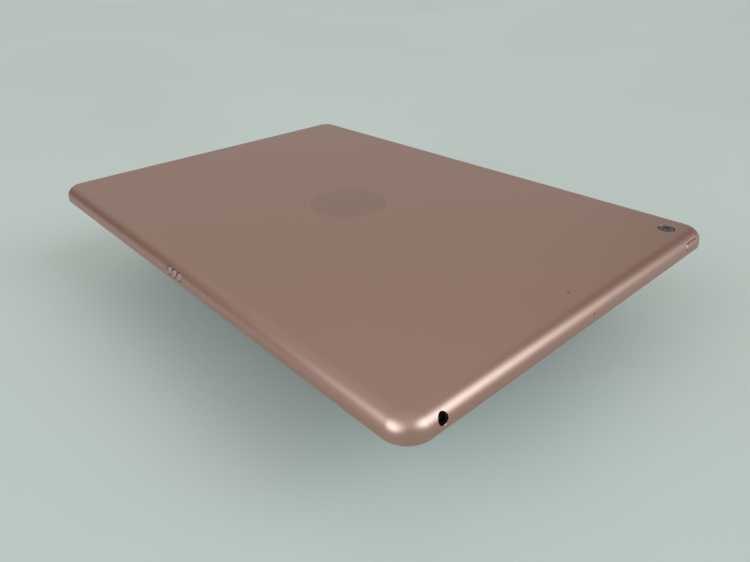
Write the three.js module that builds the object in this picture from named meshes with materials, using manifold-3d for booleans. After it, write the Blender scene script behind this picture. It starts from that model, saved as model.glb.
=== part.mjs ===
// A slim tablet computer, in millimetres, lying on its screen.
// +Z points out of the flat rear face, +Y to the end with the cameras and the headphone socket,
// and +X to the long side with the three accessory contacts.
// The origin is the middle of the cover glass's outer face, which is the lowest face of the tablet.
import * as THREE from "three";
import { mergeVertices } from "three/addons/utils/BufferGeometryUtils.js";
import Module from "manifold-3d";

const wasm = await Module();
wasm.setup();

// ---------------------------------------------------------------- driving dimensions

// Outer body
const bodyWidth = 174.1;
const bodyLength = 250.6;
const bodyThickness = 7.5;
const cornerRadius = 9.0; // of the outline, seen from above

// Rounded long edge between the side and the rear face: a superellipse quarter
const edgeStart = 1.7; // height above the glass face where the side starts to curve in
const edgeRun = 6.2; // how far the curve runs in over the rear face
const edgePower = 2.3; // 2 is an ellipse, more is squarer
const chamfer = 0.45; // bright chamfer round the screen
const rimLow = 0.15; // the metal rim stands this far back from the glass face
const rimWidth = 0.75; // metal rim seen from the front, chamfer included

// Walls and fits
const backWall = 0.8;
const sideWall = 4.2;
const clearance = 0.05; // between pieces that are bonded or rest on each other
const slideGap = 0.1; // round a button in its slot
const flexThickness = 0.12; // flexible printed circuits
const flexLane = 3; // width of the narrow ones
const flexSpace = 0.65; // beside the rear microphone

// Front glass and its seal
const glassThickness = 0.9;
const sealWall = 0.25;
const sealFoot = 0.15;
const sealFootStop = 0.6; // the seal's foot ends this far short of the pocket

// Display
const sideBezel = 9.1;
const displayBorder = 2.15; // panel beyond the lit area
const displayGap = 0.25; // air between glass and panel
const displayThickness = 1.7;
const traySheet = 0.2;
const trayLip = 1.35; // how far the tray's walls reach up beside the panel
const tabWidth = 5;
const tabReach = 5.6;
const tabInset = 16.1; // tab centre, in from the panel's long side
const tabHole = 0.65;

// Fasteners
const screwHead = 1.2;
const screwHeadHeight = 0.35;
const screwShank = 0.45;
const screwBite = 1.6;
const pilotGap = 0.08;
const bossRadius = 1.8;

// Home button
const homeHole = 7.1;
const homeSurround = 3.6; // glass between the home button and the lit area, and beyond it
const homeRingWidth = 0.65;
const homeRecess = 0.1; // ring, behind the glass face
const homeCapRecess = 0.2; // cap, behind the glass face
const homeFlange = 0.5; // carrier beyond the hole, which keeps the button in
const homeCarrier = 0.4;
const homePlunger = 2.0;
const homePlungerHeight = 0.1;
const homeTravel = 0.3;
const homeSwitchRadius = 2.6;
const homeSwitchHeight = 0.35;
const homeBracketSheet = 0.25;
const homeBracketHalf = 11.5;
const homeBracketDepth = 7;
const homeBracketLeg = 2;

// Side buttons
const buttonLength = 10.4;
const buttonHeight = 2.6;
const buttonMiddle = 3.9; // above the glass face
const buttonProud = 0.2;
const buttonTravel = 0.3;
const buttonFlange = 0.6;
const buttonFlangeOver = 0.7;
const volumeFromEnd = 31.3; // centre of the upper volume button, from the camera end
const volumeSpace = 2.6; // between the two volume buttons
const switchLength = 5;
const switchDepth = 1.5;
const switchHeight = 2.4;

// Ports and holes
const sideFeatureHeight = 3.6; // contacts, microphone and speaker holes, above the glass face
const socketFromSide = 13.8;
const socketBore = 1.75;
const socketMouth = 1.85;
const socketNose = 2.1;
const socketNoseLength = 1.7;
const socketRise = 0.18; // above the middle of the space behind the glass
const socketBodyWidth = 6.4;
const socketBodyHeight = 4.0;
const socketEnd = 0.9; // between the socket and the display tray
const socketFloor = 1.0;
const noseLip = 0.3; // of the case, in front of a nose in the end wall
const portWidth = 8.0;
const portHeight = 2.4;
const portShellWidth = 11;
const portShellHeight = 2.6;
const portShellLength = 9.5;
const portNoseWidth = 9;
const portNoseLength = 2.4;
const portCavityWidth = 7.4;
const portCavityHeight = 1.9;
const portCavityDepth = 9.4;
const microphoneHole = 0.4;
const microphoneWidth = 3.5;
const microphoneDepth = 2.5;
const microphoneHeight = 1.0;
const grilleColumns = 14;
const grilleRows = 2;
const grillePitch = 1.5;
const grilleStart = 18.5;
const grilleHole = 0.45;
const meshSheet = 0.08;
const speakerStart = 14;
const speakerDepth = 12.6;

// Accessory contacts
const contactCount = 3;
const contactPitch = 3.9;
const contactRadius = 1.5;
const contactRecess = 0.05;
const insulatorRecess = 0.12;
const insulatorWall = 0.2;
const insulatorLength = 14;
const insulatorHeight = 3.8;

// Cameras
const cameraHole = 3.3;
const cameraRingWall = 0.3;
const cameraRingFloor = 0.2;
const cameraLensRecess = 0.1;
const cameraModule = 8.8;
const cameraSideSpace = 5.45; // from the camera module to the pocket's side
const cameraEndSpace = 2.8; // from the camera module to the pocket's end
const cameraBarrel = 2.4;
const cameraHeadroom = 0.7;
const frontCameraSide = 7;
const frontCameraSpace = 0.45; // from the edge microphone
const frontCameraHeight = 2.6;
const frontCameraLens = 1.6;
const lightSensorFromCentre = 9.5;

// Rear inlay, a plain disc
const inlayRadius = 17;
const inlayDepth = 0.45;

// Boards and battery
const boardStandoff = 0.5; // behind the display tray
const boardThickness = 0.8;
const boardWidth = 22.2;
const boardLength = 164;
const boardArmWidth = 59.8;
const boardArmLength = 34;
const boardHole = 0.75;
const shieldSheet = 0.2;
const batteryGap = 1; // between the two cells
const batteryClear = 1.8; // from the board to the cells
const batteryTop = 8; // from the board's arm to the cells
const adhesive = 0.15;

// Antennas, cable and magnets
const antennaStart = 30;
const antennaDepth = 10.8;
const antennaHeight = 3.0;
const coaxRadius = 0.4;
const magnetStart = 22;
const magnetLength = 40;

// ---------------------------------------------------------------- places worked out from them

const halfWidth = bodyWidth / 2;
const halfLength = bodyLength / 2;
const insideBack = bodyThickness - backWall;
const pocketX = halfWidth - sideWall;
const pocketY = halfLength - sideWall;
const glassInset = rimWidth + clearance + sealWall + clearance;
const ledge = glassThickness + clearance + sealFoot + clearance;
const endBezel = 2 * (homeHole + homeSurround);
const panelX = halfWidth - sideBezel + displayBorder;
const panelY = halfLength - endBezel + displayBorder;
const panelFront = glassThickness + displayGap;
const panelBack = panelFront + displayThickness;
const trayX = panelX + clearance + traySheet;
const trayY = panelY + clearance + traySheet;
const trayBack = panelBack + clearance + traySheet;
const tabX = panelX - tabInset;
const tabY = trayY + 3.2;
const flexLow = trayBack + clearance;
const behindFlex = flexLow + flexThickness + clearance;
const boardLow = trayBack + boardStandoff;
const boardHigh = boardLow + boardThickness;
const boardLeft = -panelX + 0.3;
const boardRight = boardLeft + boardWidth;
const boardTopY = panelY - 2;
const armLowY = boardTopY - boardArmLength;
const armRight = boardLeft + boardArmWidth;
const homeY = -halfLength + endBezel / 2;
const frontCameraY = pocketY - clearance - microphoneDepth - frontCameraSpace - frontCameraSide / 2;
const homeSeat = glassThickness + clearance;
const homeSwitchLow = homeSeat + homeCarrier + homePlungerHeight + homeTravel + clearance;
const homeBracketLow = homeSwitchLow + homeSwitchHeight + clearance;
const homeBracketHigh = homeBracketLow + homeBracketSheet;
const portZ = homeBracketHigh + 2 * clearance + portShellHeight / 2;
const socketX = halfWidth - socketFromSide;
const socketZ = (ledge + insideBack) / 2 + socketRise;
const cameraX = -pocketX + cameraSideSpace + cameraModule / 2;
const cameraY = pocketY - cameraEndSpace - cameraModule / 2;
const powerX = cameraX - 0.3;
const volumeUpY = halfLength - volumeFromEnd;
const volumeDownY = volumeUpY - buttonLength - volumeSpace;
const switchTop = buttonMiddle + switchHeight / 2;
const boardScrews = [
  [boardLeft + 2.4, boardTopY - boardLength + 3],
  [armRight - 2.6, armLowY + 2.6],
];
const displayScrews = [
  [tabX, tabY],
  [-tabX, tabY],
  [-tabX, -tabY],
  [tabX, -tabY],
];

// ---------------------------------------------------------------- shape helpers

// A closed geometry as a manifold-3d solid.
function toSolid(geometry) {
  const bare = geometry.index ? geometry.toNonIndexed() : geometry;
  const positions = new THREE.BufferGeometry();
  positions.setAttribute("position", bare.getAttribute("position"));
  const merged = mergeVertices(positions, 1e-4);
  const vertProperties = merged.attributes.position.array;
  const triVerts = new Uint32Array(merged.index.array);
  return new wasm.Manifold(new wasm.Mesh({ numProp: 3, vertProperties, triVerts }));
}

function toGeometry(solid) {
  const { vertProperties, triVerts } = solid.getMesh();
  const geometry = new THREE.BufferGeometry();
  geometry.setAttribute("position", new THREE.BufferAttribute(new Float32Array(vertProperties), 3));
  geometry.setIndex(new THREE.BufferAttribute(new Uint32Array(triVerts), 1));
  return geometry;
}

function cut(base, ...tools) {
  return toGeometry(tools.reduce((solid, tool) => solid.subtract(toSolid(tool)), toSolid(base)));
}

function within(base, room) {
  return toGeometry(toSolid(base).intersect(toSolid(room)));
}

function join(base, ...others) {
  return toGeometry(others.reduce((solid, other) => solid.add(toSolid(other)), toSolid(base)));
}

// A rectangle with round corners, width by height, about (x, y).
function roundedRectangle(width, height, radius, x = 0, y = 0) {
  const r = Math.min(radius, width / 2 - 1e-3, height / 2 - 1e-3);
  const [a, b] = [width / 2 - r, height / 2 - r];
  const shape = new THREE.Shape();
  shape.absarc(x + a, y + b, r, 0, Math.PI / 2);
  shape.absarc(x - a, y + b, r, Math.PI / 2, Math.PI);
  shape.absarc(x - a, y - b, r, Math.PI, 1.5 * Math.PI);
  shape.absarc(x + a, y - b, r, 1.5 * Math.PI, 2 * Math.PI);
  shape.closePath();
  return shape;
}

function polygon(points) {
  return new THREE.Shape(points.map(([x, y]) => new THREE.Vector2(x, y)));
}

// A shape run along an axis. Its two coordinates are the other two axes in X, Y, Z order.
function prism(axis, shape, from, to, curveSegments = 4) {
  const options = { depth: to - from, bevelEnabled: false, curveSegments };
  const geometry = new THREE.ExtrudeGeometry(shape, options);
  if (axis === "z") return geometry.translate(0, 0, from);
  geometry.rotateX(Math.PI / 2);
  if (axis === "y") return geometry.translate(0, to, 0);
  return geometry.rotateZ(Math.PI / 2).translate(from, 0, 0);
}

function box([x0, x1], [y0, y1], [z0, z1]) {
  const geometry = new THREE.BoxGeometry(x1 - x0, y1 - y0, z1 - z0);
  return geometry.translate((x0 + x1) / 2, (y0 + y1) / 2, (z0 + z1) / 2);
}

// A round bar along an axis, centred at (u, v) on the other two.
function rod(axis, radius, from, to, u, v, sides = 20) {
  const geometry = new THREE.CylinderGeometry(radius, radius, to - from, sides);
  const middle = (from + to) / 2;
  if (axis === "z") return geometry.rotateX(Math.PI / 2).translate(u, v, middle);
  if (axis === "y") return geometry.translate(u, middle, v);
  return geometry.rotateZ(Math.PI / 2).translate(middle, u, v);
}

function slot(axis, width, height, from, to, u, v) {
  return prism(axis, roundedRectangle(width, height, height / 2, u, v), from, to);
}

// A plate with the body's outline, brought in by inset.
function bodyPlate(inset, from, to, curveSegments = 6) {
  const [width, length] = [bodyWidth - 2 * inset, bodyLength - 2 * inset];
  const shape = roundedRectangle(width, length, cornerRadius - inset);
  return prism("z", shape, from, to, curveSegments);
}

// How far the outer surface lies in from the outline at a height.
function edgeInset(z) {
  const up = Math.max(0, z - edgeStart) / (bodyThickness - edgeStart);
  return edgeRun * (1 - (1 - up ** edgePower) ** (1 / edgePower));
}

// A solid whose outline, brought in ring by ring, follows [inset, z] pairs listed from the bottom up.
function loft(profile, cornerSteps = 7) {
  const outline = [];
  for (let corner = 0; corner < 4; corner++) {
    const cx = (corner === 0 || corner === 3 ? 1 : -1) * (halfWidth - cornerRadius);
    const cy = (corner < 2 ? 1 : -1) * (halfLength - cornerRadius);
    for (let step = 0; step <= cornerSteps; step++) {
      const angle = (Math.PI / 2) * (corner + step / cornerSteps);
      outline.push([cx, cy, Math.cos(angle), Math.sin(angle)]);
    }
  }
  const count = outline.length;
  const vertices = [];
  for (const [inset, z] of profile) {
    const r = cornerRadius - inset;
    for (const [cx, cy, dx, dy] of outline) vertices.push(cx + r * dx, cy + r * dy, z);
  }
  const last = profile.length - 1;
  const [bottom, top] = [vertices.length / 3, vertices.length / 3 + 1];
  vertices.push(0, 0, profile[0][1], 0, 0, profile[last][1]);
  const faces = [];
  for (let i = 0; i < count; i++) {
    const j = (i + 1) % count;
    for (let ring = 0; ring < last; ring++) {
      const [low, high] = [ring * count, (ring + 1) * count];
      faces.push(low + i, low + j, high + j, low + i, high + j, high + i);
    }
    faces.push(bottom, j, i, top, last * count + i, last * count + j);
  }
  const geometry = new THREE.BufferGeometry();
  geometry.setAttribute("position", new THREE.Float32BufferAttribute(vertices, 3));
  geometry.setIndex(faces);
  return geometry;
}

// The outer surface above the rim, brought in by a depth, for faces that follow its curve.
function skin(depth) {
  const steps = 8;
  const top = bodyThickness - Math.max(depth, 0);
  const profile = [[depth, rimLow + 1]];
  for (let i = 0; i <= steps; i++) {
    const z = edgeStart + ((top - edgeStart) * i) / steps;
    profile.push([edgeInset(z) + depth, z]);
  }
  return loft(profile, 5);
}

// ---------------------------------------------------------------- materials and the list of pieces

function finish(color, roughness, metalness) {
  return new THREE.MeshStandardMaterial({ color, roughness, metalness });
}

const anodised = finish(0xc9a091, 0.4, 1);
const polished = finish(0xb08a7c, 0.15, 1);
const whiteGlass = finish(0xf2f0ee, 0.08, 0);
const darkGlass = finish(0x1b2230, 0.05, 0);
const paleSeal = finish(0xcfcac6, 0.6, 0);
const displayFilm = finish(0x0c0d10, 0.3, 0);
const sheetSteel = finish(0xa8abae, 0.35, 1);
const whitePlastic = finish(0xefeeec, 0.35, 0);
const blackPlastic = finish(0x17171a, 0.5, 0);
const greyContact = finish(0xc9c6c0, 0.3, 1);
const orangeFlex = finish(0x8a4a16, 0.45, 0);
const circuitBoard = finish(0x11301f, 0.5, 0);
const batteryFoil = finish(0x202226, 0.45, 0);
const adhesiveFilm = finish(0xd8d6cf, 0.7, 0);
const darkMesh = finish(0x2a2a2c, 0.6, 1);
const magnetNickel = finish(0x8f9396, 0.3, 1);

const tablet = new THREE.Group();

function add(name, material, geometry) {
  const mesh = new THREE.Mesh(geometry, material);
  mesh.name = name;
  tablet.add(mesh);
}

// ---------------------------------------------------------------- rear case

function casePorts() {
  const out = 2; // cutters run this far past the outer surface
  const tools = [];
  // Headphone socket: a round mouth, with a wider seat behind it for the socket's nose
  const seat = pocketY + clearance + socketNoseLength + clearance;
  tools.push(rod("y", socketMouth, pocketY - 1, halfLength + out, socketX, socketZ, 24));
  tools.push(rod("y", socketNose + clearance, pocketY - 1, seat, socketX, socketZ, 24));
  // Charging port: the same on the other end, with a flat rounded mouth
  const portSeat = pocketY + clearance + portNoseLength + clearance;
  tools.push(slot("y", portWidth, portHeight, -halfLength - out, -pocketY + 1, 0, portZ));
  const [seatWidth, seatHeight] = [portNoseWidth + 2 * clearance, portShellHeight + 2 * clearance];
  tools.push(slot("y", seatWidth, seatHeight, -portSeat, -pocketY + 1, 0, portZ));
  // Microphone holes: one in the end wall, one in the rear face
  tools.push(rod("y", microphoneHole, pocketY - 1, halfLength + out, 0, sideFeatureHeight, 12));
  tools.push(rod("z", microphoneHole, insideBack - 1, bodyThickness + out, 0, frontCameraY, 12));
  // Rear camera
  tools.push(rod("z", cameraHole, insideBack - 1, bodyThickness + out, cameraX, cameraY, 32));
  // Accessory contacts
  const collar = contactRadius + clearance + insulatorWall + clearance;
  for (const y of contactPlaces()) {
    tools.push(rod("x", collar, pocketX - 1, halfWidth + out, y, sideFeatureHeight, 24));
  }
  return tools;
}

function contactPlaces() {
  return Array.from({ length: contactCount }, (_, i) => (i - (contactCount - 1) / 2) * contactPitch);
}

function speakerHoles() {
  const tools = [];
  for (const side of [-1, 1]) {
    for (let column = 0; column < grilleColumns; column++) {
      for (let row = 0; row < grilleRows; row++) {
        const x = side * (grilleStart + column * grillePitch);
        const z = sideFeatureHeight + (row - (grilleRows - 1) / 2) * grillePitch;
        tools.push(rod("y", grilleHole, -halfLength - 1, -pocketY + 1, x, z, 6));
      }
    }
  }
  return tools;
}

// The slot and the inner recess for a side button. axis and sign give the wall, wall its inner face.
function buttonCuts(axis, sign, wall, along) {
  const depth = buttonTravel + buttonFlange + 3 * clearance;
  const span = (a, b) => (sign > 0 ? [a, b] : [-b, -a]);
  const gap = 2 * slideGap;
  const over = 2 * buttonFlangeOver + 4 * slideGap;
  const [slotFrom, slotTo] = span(wall, wall + sideWall + 1);
  const [recessFrom, recessTo] = span(wall - 1, wall + depth);
  const [length, height] = [buttonLength + gap, buttonHeight + gap];
  return [
    slot(axis, length, height, slotFrom, slotTo, along, buttonMiddle),
    slot(axis, buttonLength + over, buttonHeight + over, recessFrom, recessTo, along, buttonMiddle),
  ];
}

function boss([x, y], low) {
  return rod("z", bossRadius, low, insideBack + backWall / 2, x, y, 12);
}

function makeRearCase() {
  const profile = [
    [chamfer, rimLow],
    [0, rimLow + chamfer],
  ];
  const steps = 7;
  for (let i = 0; i <= steps; i++) {
    const angle = (Math.PI / 2) * (i / steps);
    const across = Math.cos(angle) ** (2 / edgePower);
    const up = Math.sin(angle) ** (2 / edgePower);
    profile.push([edgeRun * (1 - across), edgeStart + (bodyThickness - edgeStart) * up]);
  }
  const relief = homeHole + homeFlange + 4 * slideGap;
  const hollow = [
    bodyPlate(rimWidth, rimLow - 1, ledge),
    bodyPlate(sideWall, ledge - 1, insideBack),
    rod("z", relief, ledge - 1, homeSwitchLow + clearance, 0, homeY, 40),
    rod("z", inlayRadius + clearance, bodyThickness - inlayDepth - clearance, bodyThickness + 1, 0, 0, 48),
  ];
  const buttons = [
    ...buttonCuts("y", 1, pocketY, powerX),
    ...buttonCuts("x", -1, pocketX, volumeUpY),
    ...buttonCuts("x", -1, pocketX, volumeDownY),
  ];
  const shell = cut(loft(profile), ...hollow, ...casePorts(), ...buttons, ...speakerHoles());
  const bosses = [
    ...displayScrews.map((place) => boss(place, trayBack + clearance)),
    ...boardScrews.map((place) => boss(place, boardHigh + clearance)),
  ];
  const pilot = screwShank + pilotGap;
  const pilotEnd = insideBack - clearance;
  const pilots = [
    ...displayScrews.map(([x, y]) => rod("z", pilot, trayBack, pilotEnd, x, y, 10)),
    ...boardScrews.map(([x, y]) => rod("z", pilot, boardHigh, pilotEnd, x, y, 10)),
  ];
  add("rear_case", anodised, cut(join(shell, ...bosses), ...pilots));
  const inlayLow = bodyThickness - inlayDepth;
  add("rear_inlay", polished, rod("z", inlayRadius, inlayLow, bodyThickness, 0, 0, 48));
}

// ---------------------------------------------------------------- front glass, seal and display

function makeGlass() {
  const hole = rod("z", homeHole, -1, glassThickness + 1, 0, homeY, 40);
  add("cover_glass", whiteGlass, cut(bodyPlate(glassInset, 0, glassThickness), hole));

  const footLow = glassThickness + clearance;
  const outer = bodyPlate(rimWidth + clearance, rimLow + 0.1, footLow + sealFoot);
  const glassBay = bodyPlate(rimWidth + clearance + sealWall, rimLow - 1, footLow);
  const opening = bodyPlate(sideWall - sealFootStop, rimLow - 1, ledge + 1);
  const relief = rod("z", homeHole + homeFlange + 2 * slideGap, footLow - 0.01, ledge + 1, 0, homeY, 40);
  add("glass_seal", paleSeal, cut(outer, glassBay, opening, relief));
}

function makeDisplay() {
  add("display_panel", displayFilm, box([-panelX, panelX], [-panelY, panelY], [panelFront, panelBack]));

  const tray = box([-trayX, trayX], [-trayY, trayY], [trayBack - traySheet - trayLip, trayBack]);
  const bayX = trayX - traySheet;
  const bayY = trayY - traySheet;
  const bay = box([-bayX, bayX], [-bayY, bayY], [0, trayBack - traySheet]);
  const tabs = displayScrews.map(([x, y]) => {
    const end = Math.sign(y) * (trayY + tabReach);
    const start = Math.sign(y) * (trayY - 1);
    const [low, high] = [Math.min(start, end), Math.max(start, end)];
    const across = [x - tabWidth / 2, x + tabWidth / 2];
    return box(across, [low, high], [trayBack - traySheet, trayBack]);
  });
  const holes = displayScrews.map(([x, y]) => rod("z", tabHole, 0, trayBack + 1, x, y, 12));
  add("display_tray", sheetSteel, cut(join(cut(tray, bay), ...tabs), ...holes));
}

// A screw whose head lies below seat and whose shank runs up from it.
function screw([x, y], seat, tip) {
  const headHigh = seat - clearance;
  const head = rod("z", screwHead, headHigh - screwHeadHeight, headHigh, x, y, 16);
  const shank = rod("z", screwShank, headHigh - screwHeadHeight / 2, tip, x, y, 10);
  const drive = rod("z", screwShank, 0, headHigh - screwHeadHeight / 2, x, y, 6);
  return cut(join(head, shank), drive);
}

function makeScrews() {
  displayScrews.forEach((place, i) => {
    add(`display_screw_${i + 1}`, sheetSteel, screw(place, trayBack - traySheet, trayBack + screwBite));
  });
  boardScrews.forEach((place, i) => {
    const tip = Math.min(boardHigh + screwBite, insideBack - 4 * clearance);
    add(`board_screw_${i + 1}`, sheetSteel, screw(place, boardLow, tip));
  });
}

// ---------------------------------------------------------------- home button

function makeHomeButton() {
  const ringOuter = homeHole - slideGap;
  const ringInner = ringOuter - homeRingWidth;
  const ring = rod("z", ringOuter, homeRecess, glassThickness, 0, homeY, 40);
  add("home_button_ring", polished, cut(ring, rod("z", ringInner, 0, ledge, 0, homeY, 40)));
  const cap = rod("z", ringInner - clearance, homeCapRecess, glassThickness, 0, homeY, 40);
  add("home_button_cap", whitePlastic, cap);

  const carrierHigh = homeSeat + homeCarrier;
  const plate = rod("z", homeHole + homeFlange, homeSeat, carrierHigh, 0, homeY, 40);
  const plunger = rod("z", homePlunger, homeSeat, carrierHigh + homePlungerHeight, 0, homeY, 16);
  add("home_button_carrier", blackPlastic, join(plate, plunger));

  const switchHigh = homeSwitchLow + homeSwitchHeight;
  const base = rod("z", homeSwitchRadius, homeSwitchLow + homeSwitchHeight / 2, switchHigh, 0, homeY, 20);
  const dome = rod("z", homePlunger, homeSwitchLow, switchHigh, 0, homeY, 20);
  add("home_switch", greyContact, join(base, dome));

  const across = [-homeBracketHalf, homeBracketHalf];
  const deep = [homeY - homeBracketDepth / 2, homeY + homeBracketDepth / 2];
  const strap = box(across, deep, [homeBracketLow, homeBracketHigh]);
  const inner = homeBracketHalf - homeBracketLeg;
  const legs = [
    box([inner, homeBracketHalf], deep, [homeSeat, homeBracketHigh]),
    box([-homeBracketHalf, -inner], deep, [homeSeat, homeBracketHigh]),
  ];
  add("home_bracket", sheetSteel, join(strap, ...legs));
}

// ---------------------------------------------------------------- side buttons and their switches

// A button in the wall whose inner face is wall, pressed inwards. Its flange keeps it in.
function sideButton(axis, sign, wall, outer, along) {
  const flangeLow = wall + buttonTravel;
  const flangeHigh = flangeLow + buttonFlange;
  const over = 2 * buttonFlangeOver;
  const span = (a, b) => (sign > 0 ? [a, b] : [-b, -a]);
  const [stemFrom, stemTo] = span(flangeLow, outer + buttonProud);
  const [flangeFrom, flangeTo] = span(flangeLow, flangeHigh);
  const [length, height] = [buttonLength + over, buttonHeight + over];
  const bar = slot(axis, buttonLength, buttonHeight, stemFrom, stemTo, along, buttonMiddle);
  const stem = within(bar, skin(-buttonProud));
  const flange = slot(axis, length, height, flangeFrom, flangeTo, along, buttonMiddle);
  return join(stem, flange);
}

// The tactile switch behind a button, a box with a raised dome towards it.
function sideSwitch(axis, sign, wall, along) {
  const face = wall - clearance;
  const dome = 0.25;
  const span = (a, b) => (sign > 0 ? [a, b] : [-b, -a]);
  const [low, high] = span(face - switchDepth, face - dome);
  const [domeLow, domeHigh] = span(face - switchDepth, face);
  const shape = roundedRectangle(switchLength, switchHeight, 0.2, along, buttonMiddle);
  const housing = prism(axis, shape, low, high, 2);
  return join(housing, rod(axis, 0.9, domeLow, domeHigh, along, buttonMiddle, 16));
}

function makeSideButtons() {
  add("power_button", anodised, sideButton("y", 1, pocketY, halfLength, powerX));
  add("power_switch", blackPlastic, sideSwitch("y", 1, pocketY, powerX));
  add("volume_up_button", anodised, sideButton("x", -1, pocketX, halfWidth, volumeUpY));
  add("volume_up_switch", blackPlastic, sideSwitch("x", -1, pocketX, volumeUpY));
  add("volume_down_button", anodised, sideButton("x", -1, pocketX, halfWidth, volumeDownY));
  add("volume_down_switch", blackPlastic, sideSwitch("x", -1, pocketX, volumeDownY));

  // One flexible circuit lies on the three switches and has a tail over the logic board.
  const outerX = -pocketX + 2 * clearance;
  const innerX = outerX + switchDepth;
  const outerY = pocketY - 2 * clearance;
  const innerY = outerY - switchDepth;
  const endX = powerX + switchLength / 2;
  const lowY = armLowY - 6;
  const tailX = boardLeft + 4;
  const [outerCut, innerCut] = [4, 2.7]; // across the corner
  const outline = polygon([
    [outerX, lowY],
    [tailX, lowY],
    [tailX, lowY + 4],
    [innerX, lowY + 4],
    [innerX, innerY - innerCut],
    [innerX + innerCut, innerY],
    [endX, innerY],
    [endX, outerY],
    [outerX + outerCut, outerY],
    [outerX, outerY - outerCut],
  ]);
  const low = switchTop + clearance;
  add("button_flex", orangeFlex, prism("z", outline, low, low + flexThickness));
}

// ---------------------------------------------------------------- headphone socket and charging port

function makeSocket() {
  const front = pocketY - clearance;
  const rear = trayY + socketEnd;
  const height = [socketZ - socketBodyHeight / 2, socketZ + socketBodyHeight / 2];
  const across = [socketX - socketBodyWidth / 2, socketX + socketBodyWidth / 2];
  const body = box(across, [rear, front], height);
  const noseEnd = pocketY + clearance + socketNoseLength;
  const nose = rod("y", socketNose, front - 4 * clearance, noseEnd, socketX, socketZ, 24);
  const bore = rod("y", socketBore, rear + socketFloor, noseEnd + 1, socketX, socketZ, 24);
  const shaped = within(nose, skin(noseLip));
  add("headphone_socket", blackPlastic, cut(join(body, shaped), bore));

  // Its flexible circuit crosses behind the end wall to the logic board's arm.
  const near = frontCameraY + microphoneDepth / 2 + flexSpace;
  const far = near + flexLane;
  const legLeft = boardLeft + 20.8;
  const legRight = legLeft + 3;
  const outline = polygon([
    [across[1], near],
    [across[1], far],
    [legLeft, far],
    [legLeft, boardTopY - 6],
    [legRight, boardTopY - 6],
    [legRight, near],
  ]);
  const low = height[1] + clearance;
  add("headphone_flex", orangeFlex, prism("z", outline, low, low + flexThickness));
}

function makeChargingPort() {
  const front = -pocketY + clearance;
  const across = [-portShellWidth / 2, portShellWidth / 2];
  const height = [portZ - portShellHeight / 2, portZ + portShellHeight / 2];
  const shell = box(across, [front, front + portShellLength], height);
  const noseEnd = -pocketY - clearance - portNoseLength;
  const nose = slot("y", portNoseWidth, portShellHeight, noseEnd, front + 1, 0, portZ);
  const shaped = within(nose, skin(noseLip));
  const cavityEnd = noseEnd + portCavityDepth;
  const cavity = slot("y", portCavityWidth, portCavityHeight, noseEnd - 1, cavityEnd, 0, portZ);
  add("charging_port", sheetSteel, cut(join(shell, shaped), cavity));

  // A flexible circuit runs from the port's rear up beside the battery to the logic board.
  const low = flexLow;
  const start = front + portShellLength + clearance;
  const turn = -trayY + 6;
  const outline = polygon([
    [-4, start],
    [4, start],
    [4, turn],
    [boardRight - 3, turn],
    [boardRight - 3, boardTopY - boardLength + 12],
    [boardRight - 9, boardTopY - boardLength + 12],
    [boardRight - 9, turn - 6],
    [-4, turn - 6],
  ]);
  const foot = prism("z", outline, low, low + flexThickness);
  add("charging_flex", orangeFlex, foot);
}

// ---------------------------------------------------------------- speakers and microphones

function makeSpeakers() {
  const end = tabX - 4;
  const meshEnd = grilleStart + (grilleColumns - 1) * grillePitch + 1.5;
  const meshStart = grilleStart - 1.5;
  const front = -pocketY + clearance;
  const low = ledge + 4 * clearance;
  const high = insideBack - 2 * clearance;
  for (const [name, side] of [
    ["right", 1],
    ["left", -1],
  ]) {
    const span = (a, b) => (side > 0 ? [a, b] : [-b, -a]);
    const [x0, x1] = span(speakerStart, end);
    const middle = (x0 + x1) / 2;
    const bodyFront = front + meshSheet + clearance;
    const centre = bodyFront + speakerDepth / 2;
    const shape = roundedRectangle(x1 - x0, speakerDepth, 2, middle, centre);
    const housing = prism("z", shape, low + 0.4, high, 4);
    const driver = roundedRectangle((x1 - x0) * 0.5, speakerDepth * 0.6, 3, middle, centre);
    add(`speaker_${name}`, blackPlastic, join(housing, prism("z", driver, low, high, 4)));

    const tall = grillePitch * grilleRows + 0.6;
    const sheet = box(span(meshStart, meshEnd), [front, front + meshSheet], [
      sideFeatureHeight - tall / 2,
      sideFeatureHeight + tall / 2,
    ]);
    add(`speaker_mesh_${name}`, darkMesh, sheet);
  }
}

function makeMicrophones() {
  const half = microphoneWidth / 2;
  const front = pocketY - clearance;
  const tall = [sideFeatureHeight - 0.8, sideFeatureHeight + 0.8];
  const edge = box([-half, half], [front - microphoneDepth, front], tall);
  const edgePort = rod("y", microphoneHole, front - 0.5, front + 1, 0, sideFeatureHeight, 12);
  add("edge_microphone", greyContact, cut(edge, edgePort));

  const high = insideBack - clearance;
  const deep = [frontCameraY - microphoneDepth / 2, frontCameraY + microphoneDepth / 2];
  const rear = box([-half, half], deep, [high - microphoneHeight, high]);
  const rearPort = rod("z", microphoneHole, high - 0.5, high + 1, 0, frontCameraY, 12);
  add("rear_microphone", greyContact, cut(rear, rearPort));
}

// ---------------------------------------------------------------- cameras and light sensor

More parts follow.
